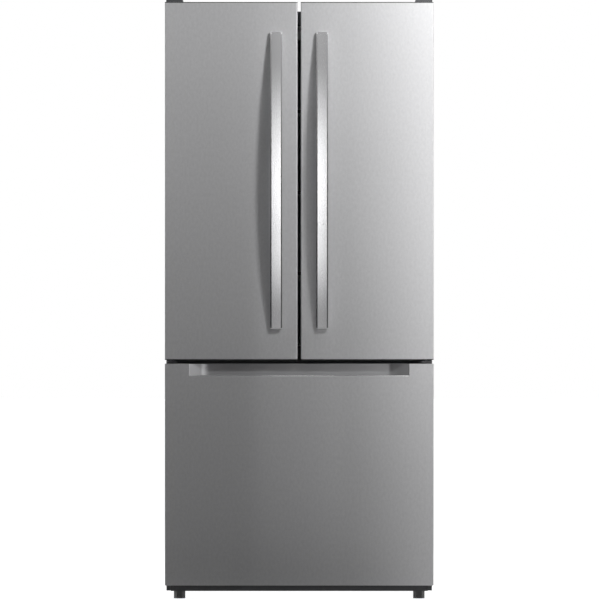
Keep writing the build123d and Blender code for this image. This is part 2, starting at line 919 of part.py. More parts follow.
with BuildPart() as air_duct:
    duct_bottom = fresh_floor + duct_low
    duct_top = fresh_ceiling - duct_high
    with BuildSketch(level(duct_bottom)):
        with BuildLine():
            Polyline(
                (-duct_half, liner_back),
                (duct_slope - duct_half, liner_back - duct_depth),
                (duct_half - duct_slope, liner_back - duct_depth),
                (duct_half, liner_back),
                close=True,
            )
        make_face()
    extrude(amount=duct_top - duct_bottom)
    offset(amount=-duct_wall, openings=air_duct.faces().sort_by(Axis.Y)[-1])
    with BuildSketch(facing(liner_back - duct_depth)):
        with Locations((0, (duct_bottom + duct_top) / 2)):
            with GridLocations(duct_slot_spread, duct_slot_pitch, 2, duct_slot_rows):
                Rectangle(duct_slot_width, duct_slot_height)
    extrude(amount=-duct_wall, mode=Mode.SUBTRACT)

panel_half = 150.0
panel_front = 98.0
panel_depth = 78.0
panel_drop = 30.0
panel_chin = 12.0

with BuildPart() as control_panel:
    panel_y = cabinet_front + panel_front
    with BuildSketch(sideways(-panel_half)):
        with BuildLine():
            Polyline(
                (panel_y, liner_top),
                (panel_y + panel_chin, liner_top - panel_drop),
                (panel_y + 2 * panel_chin, liner_top - panel_drop),
                (panel_y + panel_depth, liner_top - panel_chin),
                (panel_y + panel_depth, liner_top),
                close=True,
            )
        make_face()
    extrude(amount=2 * panel_half)
    fillet(control_panel.edges().filter_by(Axis.X).group_by(Axis.Z)[0], radius=panel_chin / 3)

lens_length = 240.0
lens_width = 70.0
lens_drop = 8.0
lens_behind = 30.0

with BuildPart() as lamp_lens:
    with BuildSketch(level(liner_top)):
        with Locations((0, panel_y + panel_depth + lens_behind + lens_width / 2)):
            Rectangle(lens_length, lens_width)
    extrude(amount=-lens_drop, taper=25)

# Evaporator behind its cover at the back of the freezer
cold_cover_front = 88.0
cold_cover_sheet = 2.5
cold_cover_return = 20.0
cold_cover_gap = 5.0
cold_vent_length = 110.0
cold_vent_spread = 165.0
cold_vent_height = 7.0
cold_vent_pitch = 16.0
cold_vent_rows = 4
return_vent_rows = 2
evaporator_width = 430.0
evaporator_depth = 54.0
evaporator_height = 150.0
evaporator_fins = 10
evaporator_gap = 14.0
cold_cover_y = cavity_back - cold_cover_front
cold_low = step_top + liner_wall
cold_high = freezer_ceiling - liner_wall

evaporator = fin_pack(
    0.0,
    liner_back - evaporator_gap / 2 - evaporator_depth,
    liner_back - evaporator_gap / 2,
    cold_low + evaporator_gap,
    cold_low + evaporator_gap + evaporator_height,
    evaporator_width,
    evaporator_fins,
    6,
)

with BuildPart() as evaporator_cover:
    cold_half = liner_half - cold_cover_gap
    cold_cover_top = cold_high - cold_cover_gap
    with BuildSketch(facing(cold_cover_y)):
        span(-cold_half, cold_half, cold_low, cold_cover_top)
    extrude(amount=-cold_cover_sheet)
    with BuildSketch(facing(cold_cover_y)):
        span(-cold_half, cold_half, cold_cover_top - cold_cover_sheet, cold_cover_top)
        span(-cold_half, cold_cover_sheet - cold_half, cold_low, cold_cover_top)
        span(cold_half - cold_cover_sheet, cold_half, cold_low, cold_cover_top)
    extrude(amount=-cold_cover_return)
    with BuildSketch(facing(cold_cover_y)):
        with Locations((0, cold_fan_z)):
            with GridLocations(cold_vent_spread, cold_vent_pitch, 3, cold_vent_rows):
                Rectangle(cold_vent_length, cold_vent_height)
        with Locations((0, cold_low + 3 * cold_vent_pitch)):
            with GridLocations(cold_vent_spread, cold_vent_pitch, 3, return_vent_rows):
                Rectangle(cold_vent_length, cold_vent_height)
    extrude(amount=-cold_cover_sheet, mode=Mode.SUBTRACT)

# Telescopic rails of the drawer: nested channels with room for the balls between them
rail_above_floor = 228.0
outer_rail_height = 45.0
outer_rail_depth = 12.5
nest_step = 3.0
nest_web = 2.5
rail_metal = 1.5
rail_clearance = 2.0
rail_front = 5.0
rail_length = 400.0
rail_low = freezer_floor + rail_above_floor
rail_high = rail_low + outer_rail_height
rail_open = liner_half - outer_rail_depth
rail_start = cabinet_front + rail_front


def channel(web_x, open_x, inset):
    """Section of a right-hand C channel between the rail's heights less an inset."""
    side = Side.LEFT if web_x > open_x else Side.RIGHT
    corners = [
        (open_x, rail_low + inset),
        (web_x, rail_low + inset),
        (web_x, rail_high - inset),
        (open_x, rail_high - inset),
    ]
    return creased(corners, rail_metal, side)


with BuildPart() as outer_rails:
    with BuildSketch(facing(rail_start)):
        add(channel(liner_half, rail_open, 0))
    extrude(amount=-rail_length)
    mirror(about=Plane.YZ)

with BuildPart() as middle_rails:
    with BuildSketch(facing(rail_start)):
        add(channel(liner_half - nest_web, rail_open, nest_step))
    extrude(amount=nest_step - rail_length)
    mirror(about=Plane.YZ)

frame_tip = liner_half - 2 * nest_web
frame_web = rail_open - rail_clearance
ledge_width = 12.0
basket_back_gap = 28.0
frame_top = rail_high - 2 * nest_step
frame_length = rail_length - nest_step + rail_start - door_back
bracket_rise = 24.0
bracket_width = 22.0

with BuildPart() as drawer_frame:
    with BuildSketch(facing(door_back)):
        add(channel(frame_web, frame_tip, 2 * nest_step))
    extrude(amount=-frame_length)
    with BuildSketch(facing(rail_start)):
        span(frame_web - ledge_width, frame_web + rail_metal, frame_top - rail_metal, frame_top)
    extrude(amount=rail_start - step_front + basket_back_gap)
    with BuildSketch(facing(door_back)):
        span(
            frame_web - bracket_width + rail_metal,
            frame_web + rail_metal,
            rail_low - bracket_rise,
            rail_high + bracket_rise,
        )
    extrude(amount=-hinge_sheet)
    mirror(about=Plane.YZ)

# Freezer basket on the drawer's frame and the tray that slides on its rim
basket_clearance = 4.0
basket_wall = 3.0
basket_corner = 12.0
basket_low_gap = 18.0
basket_height = 288.0
basket_rim = 8.0
basket_front_gap = 7.0
tray_gap = 0.6
tray_height = 112.0
tray_length = 190.0
basket_half = frame_web - ledge_width - edge_clearance
basket_front = rail_start + basket_front_gap
basket_back = step_front - basket_back_gap
basket_low = freezer_floor + liner_wall + basket_low_gap
basket_high = basket_low + basket_height

with BuildPart() as lower_basket:
    with BuildSketch(level(basket_low)):
        with Locations((0, (basket_front + basket_back) / 2)):
            add(cornered(2 * basket_half, basket_back - basket_front, basket_corner))
    extrude(amount=basket_height)
    offset(amount=-basket_wall, openings=lower_basket.faces().sort_by(Axis.Z)[-1])
    flange_half = frame_web - edge_clearance
    with BuildSketch(level(frame_top)):
        for side in (-1, 1):
            low, high = sorted((side * (basket_half - basket_wall), side * flange_half))
            span(low, high, basket_front + basket_corner, basket_back - basket_corner)
    extrude(amount=basket_wall)
    with BuildSketch(level(basket_high)):
        with Locations((0, (basket_front + basket_back) / 2)):
            add(cornered(2 * (basket_half + basket_rim), basket_back - basket_front, basket_corner))
            add(
                cornered(
                    2 * (basket_half - basket_wall),
                    basket_back - basket_front - 2 * basket_wall,
                    basket_corner - basket_wall / 2,
                ),
                mode=Mode.SUBTRACT,
            )
    extrude(amount=-basket_wall)

with BuildPart() as upper_tray:
    tray_low = basket_high + tray_gap
    tray_front = basket_front + basket_clearance
    with BuildSketch(level(tray_low)):
        with Locations((0, tray_front + tray_length / 2)):
            add(cornered(2 * (basket_half + basket_rim / 2), tray_length, basket_corner))
    extrude(amount=tray_height)
    with BuildSketch(level(tray_low + basket_wall)):
        with Locations((0, tray_front + tray_length / 2)):
            add(
                cornered(
                    2 * (basket_half + basket_rim / 2 - basket_wall),
                    tray_length - 2 * basket_wall,
                    basket_corner - basket_wall,
                )
            )
    extrude(amount=tray_height, mode=Mode.SUBTRACT)


def gasket_ring(low_x, high_x, low_z, high_z):
    """Door seal: mounting base, folded bellows and magnet strip around a rectangle."""
    thickness = gasket_gap - gasket_clearance
    third = thickness / 3
    waist = gasket_width / 5
    with BuildPart() as ring:
        for step, inset in enumerate((0, waist, 0)):
            with BuildSketch(facing(door_back + step * third)):
                span(low_x + inset, high_x - inset, low_z + inset, high_z - inset)
                inner = gasket_width - inset
                span(low_x + inner, high_x - inner, low_z + inner, high_z - inner, mode=Mode.SUBTRACT)
            extrude(amount=-third)
    return ring


def front_body(low_x, high_x, inset, depth):
    """Top view of a door's or drawer's body inside its skin, with its front corners broken."""
    with BuildSketch(Plane.XY, mode=Mode.PRIVATE) as outline:
        span(low_x + inset, high_x - inset, door_face + inset, door_face + depth)
        chamfer(outline.vertices().group_by(Axis.Y)[0], length=skin_bend)
    return outline.sketch


# Skin, end caps, seal and handle of the right door, mirrored for the left one
with BuildPart() as right_door_skin:
    with BuildSketch(level(door_bottom + cap_lip)):
        add(
            folded(
                [
                    (half_gap, door_face + skin_return),
                    (half_gap, door_face),
                    (half_span, door_face),
                    (half_span, door_face + skin_return),
                ],
                skin_bend,
                steel_sheet,
                Side.LEFT,
            )
        )
    extrude(amount=door_height - 2 * cap_lip)

left_door_skin = mirrored(right_door_skin)

with BuildPart() as right_door_caps:
    for end, inward in ((door_bottom, 1), (door_top, -1)):
        with BuildSketch(level(end)):
            add(front_body(half_gap, half_span, 0, door_thickness))
        extrude(amount=inward * cap_lip)
        with BuildSketch(level(end + inward * cap_lip)):
            add(front_body(half_gap, half_span, steel_sheet, door_thickness))
        extrude(amount=inward * (cap_spigot - cap_lip))
        with BuildSketch(level(end)):
            with Locations((hinge_x, hinge_y)):
                Circle(pin_bore)
        extrude(amount=inward * cap_spigot, mode=Mode.SUBTRACT)

left_door_caps = mirrored(right_door_caps)

right_door_gasket = gasket_ring(
    half_gap + gasket_inset - gasket_overhang,
    gasket_edge,
    door_bottom + gasket_inset,
    cabinet_top - gasket_inset / 3,
)
left_door_gasket = mirrored(right_door_gasket)

handle_x = half_gap + handle_offset
handle_bottom = door_bottom + handle_low
handle_top = handle_bottom + handle_length
handle_middle = (handle_bottom + handle_top) / 2
grip_half = 150.0
handle_edge = 4.5
handle_sink = 1.0
handle_end = 5.0
post_width = 16.0
post_height = 12.0
post_inset = 40.0

with BuildPart() as handle_bar:
    with BuildLine(sideways(handle_x)):
        end_y = door_face - handle_thickness / 2 + handle_sink
        bow = ThreePointArc(
            (end_y, handle_bottom),
            (door_face - handle_reach + handle_thickness / 2, handle_middle),
            (end_y, handle_top),
        )
    with BuildSketch(Plane(origin=bow @ 0, x_dir=(1, 0, 0), z_dir=bow % 0)) as section:
        Rectangle(handle_width, handle_thickness)
        chamfer(section.vertices(), length=handle_edge)
    sweep()
    with BuildSketch(facing(door_face)):
        with Locations((handle_x, handle_bottom + post_inset), (handle_x, handle_top - post_inset)):
            Rectangle(post_width, post_width)
    extrude(amount=post_height)
    with BuildSketch(facing(door_face)) as face:
        with Locations((handle_x, handle_middle)):
            Rectangle(handle_width, handle_length)
        chamfer(face.vertices(), length=handle_end)
    extrude(amount=handle_reach, mode=Mode.INTERSECT)


def sectioned(bar):
    """Handle made up of its grip and the two end sections that bend to the door."""
    with BuildPart() as handle:
        add(bar.part)
        for seam in (handle_middle - grip_half, handle_middle + grip_half):
            split(bisect_by=level(seam), keep=Keep.BOTH)
    return handle


right_handle = sectioned(handle_bar)
left_handle = sectioned(mirrored(handle_bar))

# Inner doors: foamed liner with a raised dike that carries the bins
bin_wall = 2.5
bin_side_gap = 0.5
bin_ledge = 6.0
bin_ledge_height = 5.0
bin_back_gap = 0.5
bin_depth = 103.5
bin_corner = 9.0
bin_rims = (142.0, 424.0, 734.0)
bin_heights = (112.0, 92.0, 92.0)
dike_corner = 14.0
dike_edge = 4.0
dike_outer = hinge_x - dike_hinge_offset
dike_inner = half_gap + dike_free_offset
dike_low = fresh_floor + dike_margin
dike_high = fresh_ceiling - dike_margin
pan_y = door_back - pan_recess
dike_back = door_back + dike_depth
rim_heights = [fresh_floor + rim for rim in bin_rims]

with BuildPart() as right_door_liner:
    with BuildSketch(level(door_bottom + cap_spigot)):
        add(front_body(half_gap, half_span, steel_sheet, door_thickness))
    extrude(amount=door_height - 2 * cap_spigot)
    with BuildSketch(facing(door_back)):
        with Locations(((dike_inner + dike_outer) / 2, (dike_low + dike_high) / 2)):
            add(cornered(dike_outer - dike_inner, dike_high - dike_low, dike_corner))
    extrude(amount=-dike_depth)
    chamfer(right_door_liner.faces().sort_by(Axis.Y)[-1].edges(), length=dike_edge)
    with BuildSketch(facing(pan_y)):
        span(dike_inner + dike_wall, dike_outer - dike_wall, dike_low + dike_wall, dike_high - dike_wall)
    extrude(amount=pan_y - dike_back, mode=Mode.SUBTRACT)
    with BuildSketch(facing(pan_y)):
        for rim in rim_heights:
            span(dike_inner + dike_wall, dike_inner + dike_wall + bin_ledge, rim - bin_ledge_height, rim)
            span(dike_outer - dike_wall - bin_ledge, dike_outer - dike_wall, rim - bin_ledge_height, rim)
    extrude(amount=pan_y - dike_back + dike_edge)

# Flip mullion of the left door, drawn folded back into the compartment
mullion_width = 80.0
mullion_radius = 10.0
mullion_x = -30.0
mullion_setback = 10.5
mullion_pin = 3.0
mullion_gap = 1.0
mullion_lug = 8.0
mullion_y = cabinet_front + mullion_setback
mullion_bore = mullion_pin + running_clearance
lug_half = 7.0
mullion_low = dike_low + mullion_lug + mullion_gap
mullion_high = dike_high - mullion_lug - mullion_gap

with BuildPart() as left_door_liner:
    mirror(right_door_liner.part, about=Plane.YZ)
    for low in (dike_low, dike_high - mullion_lug):
        with BuildSketch(level(low)):
            span(
                -dike_inner - dike_wall / 2,
                mullion_x + lug_half,
                mullion_y - lug_half,
                mullion_y + lug_half,
            )
            with Locations((mullion_x, mullion_y)):
                Circle(mullion_bore, mode=Mode.SUBTRACT)
        extrude(amount=mullion_lug)

with BuildPart() as flip_mullion:
    with BuildSketch(level(mullion_low)):
        with Locations((mullion_x, mullion_y)):
            Circle(mullion_radius)
        span(
            mullion_x - mullion_radius,
            mullion_x + mullion_radius,
            mullion_y,
            mullion_y + mullion_width - mullion_radius,
        )
    extrude(amount=mullion_high - mullion_low)
    with BuildSketch(level(mullion_low - mullion_gap - mullion_lug)):
        with Locations((mullion_x, mullion_y)):
            Circle(mullion_pin)
    extrude(amount=mullion_high - mullion_low + 2 * (mullion_gap + mullion_lug))

# Door bins resting by their rims on the dike's ledges
bin_inner = dike_inner + dike_wall + bin_ledge + bin_side_gap
bin_outer = dike_outer - dike_wall - bin_ledge - bin_side_gap
bin_back = pan_y + bin_back_gap
bin_front = bin_back + bin_depth


def door_bin(rim, height):
    """Open bin of the right door, with rim flanges at its sides."""
    with BuildPart(mode=Mode.PRIVATE) as tub:
        with BuildSketch(level(rim + bin_wall - height)) as floor:
            span(bin_inner, bin_outer, bin_back, bin_front)
            chamfer(floor.vertices().group_by(Axis.Y)[-1], length=bin_corner)
        extrude(amount=height)
        offset(amount=-bin_wall, openings=tub.faces().sort_by(Axis.Z)[-1])
        with BuildSketch(level(rim)):
            span(bin_inner - bin_ledge, bin_inner, bin_back, dike_back - dike_edge)
            span(bin_outer, bin_outer + bin_ledge, bin_back, dike_back - dike_edge)
        extrude(amount=bin_wall)
    return tub.part


# Dairy bin lid, hinged between two ears at the back of the top right bin
lid_pin = 2.5
lid_bore = lid_pin + running_clearance
lid_barrel = 5.0
lid_ear = 4.0
lid_gap = 0.8
lid_sheet = 2.5
lid_lip = 16.0
lid_rise = 7.0
lid_y = bin_back + lid_barrel + lid_gap
lid_z = rim_heights[-1] + bin_wall + lid_rise
lid_inner = bin_inner + lid_ear + lid_gap
lid_outer = bin_outer - lid_ear - lid_gap

with BuildPart() as left_bins_source:
    for rim, height in zip(rim_heights, bin_heights):
        add(door_bin(rim, height))

left_door_bins = mirrored(left_bins_source)

with BuildPart() as right_door_bins:
    add(left_bins_source.part)
    for ear_x in (bin_inner, bin_outer - lid_ear):
        with BuildSketch(sideways(ear_x)):
            span(bin_back, lid_y + lid_barrel, rim_heights[-1], lid_z + lid_barrel)
            with Locations((lid_y, lid_z)):
                Circle(lid_bore, mode=Mode.SUBTRACT)
        extrude(amount=lid_ear)

with BuildPart() as dairy_lid:
    with BuildSketch(sideways(lid_inner)):
        with Locations((lid_y, lid_z)):
            Circle(lid_barrel)
        span(lid_y, bin_front + lid_gap + lid_sheet, lid_z + lid_barrel - lid_sheet, lid_z + lid_barrel)
        span(
            bin_front + lid_gap,
            bin_front + lid_gap + lid_sheet,
            lid_z + lid_barrel - lid_lip,
            lid_z + lid_barrel,
        )
    extrude(amount=lid_outer - lid_inner)
    with BuildSketch(sideways(bin_inner)):
        with Locations((lid_y, lid_z)):
            Circle(lid_pin)
    extrude(amount=bin_outer - bin_inner)

# Drawer front: pressed steel pan with a notch for the pull, filled by the foamed core
pull_low = drawer_top - pull_height
pull_floor = pull_low - pull_undercut
pull_seat = door_face + pull_depth + pull_wall


with BuildPart() as drawer_skin:
    with BuildSketch(level(drawer_bottom)) as pan:
        span(-half_span, half_span, door_face, door_face + skin_return)
        fillet(pan.vertices().group_by(Axis.Y)[0], radius=skin_bend)
    extrude(amount=drawer_height)
    with BuildSketch(level(drawer_bottom + steel_sheet)) as hollow:
        span(
            steel_sheet - half_span,
            half_span - steel_sheet,
            door_face + steel_sheet,
            door_face + skin_return,
        )
        fillet(hollow.vertices().group_by(Axis.Y)[0], radius=skin_bend - steel_sheet)
    extrude(amount=drawer_height - 2 * steel_sheet, mode=Mode.SUBTRACT)
    with BuildSketch(facing(door_face)):
        span(-pull_half, pull_half, pull_low, drawer_top)
    extrude(amount=door_face - pull_seat, mode=Mode.SUBTRACT)

with BuildPart() as pocket_grip:
    with BuildSketch(level(pull_floor - pull_wall)):
        span(-pull_half - pull_wall, pull_half + pull_wall, door_face + steel_sheet, pull_seat)
    extrude(amount=drawer_top - steel_sheet - pull_floor + pull_wall)
    with BuildSketch(facing(door_face)):
        span(-pull_half, pull_half, pull_low, drawer_top)
    extrude(amount=door_face - pull_seat)
    with BuildSketch(level(pull_floor)) as scoop:
        with BuildLine():
            start = (-pull_half, door_face)
            middle = (pull_end / 2 - pull_half, door_face + pull_depth / 2)
            bottom = (pull_end - pull_half, door_face + pull_depth)
            entry = TangentArc(start, middle, tangent=(1, 0))
            TangentArc(middle, bottom, tangent=entry % 1)
            Line(bottom, (0, door_face + pull_depth))
            mirror(about=Plane.YZ)
            Line(start, (pull_half, door_face))
        make_face()
    extrude(amount=drawer_top - pull_floor, mode=Mode.SUBTRACT)
    with BuildSketch(level(pull_floor)):
        span(-pull_half, pull_half, door_face + steel_sheet, door_face + steel_sheet + pull_wall)
    extrude(amount=pull_undercut)

plug_depth = 18.0
plug_margin = 40.0

with BuildPart() as drawer_core:
    with BuildSketch(level(drawer_bottom + steel_sheet)):
        add(front_body(-half_span, half_span, steel_sheet, door_thickness))
    extrude(amount=drawer_height - 2 * steel_sheet)
    with BuildSketch(level(pull_floor - pull_wall)):
        span(-pull_half - pull_wall, pull_half + pull_wall, door_face, pull_seat)
    extrude(amount=drawer_top - pull_floor + pull_wall, mode=Mode.SUBTRACT)
    with BuildSketch(facing(door_back)):
        span(
            plug_margin - cavity_half,
            cavity_half - plug_margin,
            freezer_floor + plug_margin,
            freezer_ceiling - plug_margin,
        )
    extrude(amount=-plug_depth, taper=20)

drawer_gasket = gasket_ring(
    -gasket_edge,
    gasket_edge,
    drawer_bottom + gasket_inset,
    drawer_top - gasket_inset,
)

pieces = {
    "left_side_panel": left_side_panel,
    "right_side_panel": right_side_panel,
    "top_panel": top_panel,
    "back_panel": back_panel,
    "insulation": insulation,
    "fresh_food_liner": fresh_food_liner,
    "freezer_liner": freezer_liner,
    "mid_rail": mid_rail,
    "base_rail": base_rail,
    "base_pan": base_pan,
    "left_foot": left_foot,
    "right_foot": right_foot,
    "left_roller": left_roller,
    "right_roller": right_roller,
    "compressor": compressor,
    "condenser_coil": condenser_coil,
    "drain_pan": drain_pan,
    "condenser_fan": condenser_fan,
    "fan_motors": fan_motors,
    "rear_cover": rear_cover,
    "power_gland": power_gland,
    "top_hinges": top_hinges,
    "hinge_covers": hinge_covers,
    "mid_hinges": mid_hinges,
    "shelf_frames": shelf_frames,
    "shelf_panes": shelf_panes,
    "left_humidity_slider": left_humidity_slider,
    "right_humidity_slider": right_humidity_slider,
    "left_crisper": left_crisper,
    "right_crisper": right_crisper,
    "air_duct": air_duct,
    "control_panel": control_panel,
    "lamp_lens": lamp_lens,
    "evaporator": evaporator,
    "evaporator_cover": evaporator_cover,
    "evaporator_fan": evaporator_fan,
    "outer_rails": outer_rails,
    "middle_rails": middle_rails,
    "left_door_skin": left_door_skin,
    "left_door_caps": left_door_caps,
    "left_door_liner": left_door_liner,
    "left_door_gasket": left_door_gasket,
    "left_door_bins": left_door_bins,
    "left_handle": left_handle,
    "flip_mullion": flip_mullion,
    "right_door_skin": right_door_skin,
    "right_door_caps": right_door_caps,
    "right_door_liner": right_door_liner,
    "right_door_gasket": right_door_gasket,
    "right_door_bins": right_door_bins,
    "right_handle": right_handle,
    "dairy_lid": dairy_lid,
    "drawer_skin": drawer_skin,
    "drawer_core": drawer_core,
    "drawer_gasket": drawer_gasket,
    "pocket_grip": pocket_grip,
    "drawer_frame": drawer_frame,
    "lower_basket": lower_basket,
    "upper_tray": upper_tray,
}

os.makedirs("parts", exist_ok=True)
for name, piece in pieces.items():
    piece.part.label = name
    export_step(piece.part, f"parts/{name}.step")
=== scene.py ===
"""Looks, light and camera for the french door refrigerator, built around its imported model."""

import math

import bmesh
import bpy
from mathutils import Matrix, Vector


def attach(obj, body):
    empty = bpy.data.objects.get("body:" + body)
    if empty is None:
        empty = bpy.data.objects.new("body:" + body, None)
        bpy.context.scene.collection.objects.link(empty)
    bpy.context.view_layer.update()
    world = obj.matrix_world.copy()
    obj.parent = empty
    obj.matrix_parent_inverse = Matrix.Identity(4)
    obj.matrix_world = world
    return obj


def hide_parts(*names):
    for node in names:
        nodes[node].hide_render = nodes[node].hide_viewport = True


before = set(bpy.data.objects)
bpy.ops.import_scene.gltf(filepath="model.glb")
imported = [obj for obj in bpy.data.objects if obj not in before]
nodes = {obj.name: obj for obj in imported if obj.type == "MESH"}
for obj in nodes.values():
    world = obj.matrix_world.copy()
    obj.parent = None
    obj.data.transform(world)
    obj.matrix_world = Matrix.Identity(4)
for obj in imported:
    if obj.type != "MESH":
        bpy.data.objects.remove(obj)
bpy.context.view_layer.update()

# Places of the model, in metres
DOOR_FACE = -0.340
CABINET_FRONT = -0.267
BACK_FACE = 0.3846
HANDLE_X = 0.064
HANDLE_LOW = 0.7545
HANDLE_HIGH = 1.5815
SHELF_TOPS = (0.915, 1.143, 1.371)
PULL_LOW = 0.6235


class Shader:
    """A principled material whose nodes are added one after another."""

    def __init__(self, name, color, roughness, metallic=0.0, **settings):
        self.material = bpy.data.materials.new(name)
        self.material.use_nodes = True
        self.tree = self.material.node_tree
        self.surface = self.tree.nodes["Principled BSDF"]
        self.place = self.add("ShaderNodeTexCoord").outputs["Object"]
        self.put(self.surface, {"Base Color": (*color, 1.0)})
        self.put(self.surface, {"Roughness": roughness, "Metallic": metallic})
        self.put(self.surface, {key.replace("_", " "): value for key, value in settings.items()})

    def put(self, node, values):
        """Sets a node's inputs to numbers or links them to other nodes' outputs."""
        for key, value in values.items():
            if isinstance(value, bpy.types.NodeSocket):
                self.tree.links.new(value, node.inputs[key])
            else:
                node.inputs[key].default_value = value

    def add(self, kind, values=None, **attributes):
        node = self.tree.nodes.new(kind)
        for key, value in attributes.items():
            setattr(node, key, value)
        self.put(node, values or {})
        return node

    def noise(self, scale, detail=3.0, stretch=(1, 1, 1), rough=0.5):
        """Noise over the object's own place, scaled per metre and stretched along the axes."""
        spread = self.add("ShaderNodeMapping", {"Vector": self.place, "Scale": stretch})
        values = {"Vector": spread.outputs[0], "Scale": scale, "Detail": detail, "Roughness": rough}
        return self.add("ShaderNodeTexNoise", values).outputs["Fac"]

    def cells(self, scale, feature="F1"):
        """Voronoi cells over the object's own place."""
        return self.add("ShaderNodeTexVoronoi", {"Vector": self.place, "Scale": scale}, feature=feature)

    def spread(self, value, low, high, start=0.25, end=0.75):
        """Maps a texture's middle range to two numbers."""
        values = {"Value": value, "From Min": start, "From Max": end, "To Min": low, "To Max": high}
        return self.add("ShaderNodeMapRange", values, clamp=True).outputs[0]

    def tint(self, value, dark, light):
        """Runs the base colour between two shades along a texture."""
        mix = self.add("ShaderNodeMix", {"Factor": value}, data_type="RGBA")
        self.put(mix, {6: (*dark, 1.0), 7: (*light, 1.0)})
        self.put(self.surface, {"Base Color": mix.outputs[2]})

    def rough(self, value, low, high):
        self.put(self.surface, {"Roughness": self.spread(value, low, high)})

    def bump(self, value, strength, distance):
        bump = self.add("ShaderNodeBump", {"Height": value, "Strength": strength, "Distance": distance})
        self.put(self.surface, {"Normal": bump.outputs[0]})


def shade(color, factor):
    return tuple(min(part * factor, 1.0) for part in color)


def brushed(name, color, low, high, metallic, stretch, scale, depth, clouds):
    """Brushed sheet: fine grain along one axis, broad soft changes of sheen."""
    shader = Shader(name, color, (low + high) / 2, metallic)
    grain = shader.noise(scale, 4.0, stretch, 0.6)
    broad = shader.noise(2.4, 2.0)
    mottle = shader.spread(shader.noise(150.0, 4.0, (1.0, 1.0, 0.6), 0.65), 0.0, 1.0)
    shader.tint(mottle, shade(color, 1 - clouds), shade(color, 1 + clouds))
    both = shader.add("ShaderNodeMath", {0: grain, 1: broad}, operation="ADD")
    half = shader.add("ShaderNodeMath", {0: both.outputs[0], 1: 0.5}, operation="MULTIPLY")
    shader.rough(half.outputs[0], low, high)
    shader.bump(grain, depth, 0.0002)
    return shader.material


def moulded(name, color, roughness, grain_scale, strength, **settings):
    """Moulded plastic: fine eroded texture, faint flow clouds in its colour."""
    shader = Shader(name, color, roughness, **settings)
    clouds = shader.noise(7.0, 3.0)
    shader.tint(clouds, shade(color, 0.94), shade(color, 1.06))
    texture = shader.noise(grain_scale, 3.0, rough=0.65)
    shader.rough(texture, roughness - 0.06, roughness + 0.06)
    shader.bump(texture, strength, 0.0003)
    return shader.material


def painted(name, color, roughness, peel_scale, strength, **settings):
    """Sprayed paint: orange peel and a little dust in the sheen."""
    shader = Shader(name, color, roughness, **settings)
    peel = shader.noise(peel_scale, 2.0)
    dust = shader.noise(5.0, 4.0)
    shader.tint(dust, shade(color, 0.95), shade(color, 1.05))
    shader.rough(dust, roughness - 0.05, roughness + 0.05)
    shader.bump(peel, strength, 0.0006)
    return shader.material


def spangled(name, color, low, high, scale):
    """Zinc coat: crystals that differ in shade and sheen."""
    shader = Shader(name, color, (low + high) / 2, 0.85)
    crystal = shader.cells(scale)
    facet = shader.add("ShaderNodeSeparateColor", {"Color": crystal.outputs["Color"]}).outputs[0]
    shader.tint(facet, shade(color, 0.86), shade(color, 1.12))
    shader.rough(facet, low, high)
    shader.bump(shader.noise(420.0, 2.0), 0.05, 0.0004)
    return shader.material


def clear(name, color, roughness, **settings):
    """Clear moulding or glass: faint waviness and a breath of haze."""
    shader = Shader(name, color, roughness, Transmission_Weight=0.92, **settings)
    haze = shader.noise(30.0, 3.0)
    shader.rough(haze, roughness, roughness + 0.07)
    shader.tint(shader.noise(9.0, 2.0), shade(color, 0.97), shade(color, 1.02))
    shader.bump(shader.noise(55.0, 2.0), 0.03, 0.001)
    return shader.material


def foamed(name, color):
    """Closed cell foam with its skin broken into small bubbles."""
    shader = Shader(name, color, 0.8)
    bubbles = shader.cells(900.0).outputs["Distance"]
    shader.tint(shader.noise(18.0, 4.0), shade(color, 0.88), shade(color, 1.06))
    shader.bump(bubbles, 0.35, 0.0008)
    return shader.material


def finned(name, color):
    """Rolled fin stock with faint roller lines."""
    shader = Shader(name, color, 0.34, 1.0)
    lines = shader.noise(240.0, 2.0, (1.0, 1.0, 0.05))
    shader.tint(lines, shade(color, 0.9), shade(color, 1.05))
    shader.rough(lines, 0.26, 0.42)
    return shader.material


def aged(name, color):
    """Drawn copper tube, dulled in patches."""
    shader = Shader(name, color, 0.28, 1.0)
    patches = shader.noise(38.0, 5.0)
    shader.tint(patches, shade(color, 0.62), shade(color, 1.1))
    shader.rough(patches, 0.2, 0.45)
    return shader.material


def milky(name, color):
    """Lamp diffuser with prism lines across it."""
    shader = Shader(name, color, 0.3, Subsurface_Weight=0.25, Transmission_Weight=0.2)
    ribs = shader.add("ShaderNodeTexWave", {"Vector": shader.place, "Scale": 60.0}, bands_direction="X")
    shader.tint(shader.noise(12.0), shade(color, 0.96), shade(color, 1.02))
    shader.bump(ribs.outputs["Fac"], 0.25, 0.001)
    return shader.material


